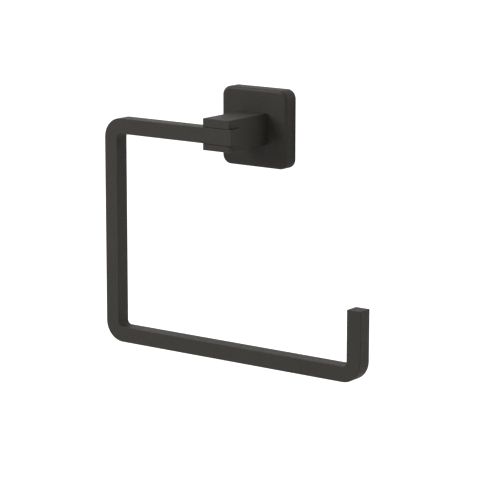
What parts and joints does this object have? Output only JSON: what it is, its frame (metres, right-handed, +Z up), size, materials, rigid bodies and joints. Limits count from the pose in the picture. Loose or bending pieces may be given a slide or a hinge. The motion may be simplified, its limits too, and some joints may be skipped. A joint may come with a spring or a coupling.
{
  "type": "towel ring",
  "caption": "Open square towel ring of square bar, held in a notch across a square post on a hollow square rosette that hooks over a wall bracket.",
  "frame": {"origin": "on the wall, at the centre of the rosette's back", "axes": "+X along the wall to the ring's open side, +Y into the wall, +Z up"},
  "size_m": [0.196, 0.0509, 0.1667],
  "materials": {
    "black_coating": "matt black powder coat, slightly warm",
    "steel_sheet": "plain rolled stainless sheet",
    "zinc_plate": "bright zinc plate",
    "black_screw": "black oxide"
  },
  "bodies": {
    "root": {"towel_bar": "black_coating", "post": "black_coating", "rosette": "black_coating", "wall_bracket": "steel_sheet", "draw_screw": "zinc_plate", "clamp_washer": "zinc_plate", "grub_screw": "black_screw"}
  },
  "joints": []
}
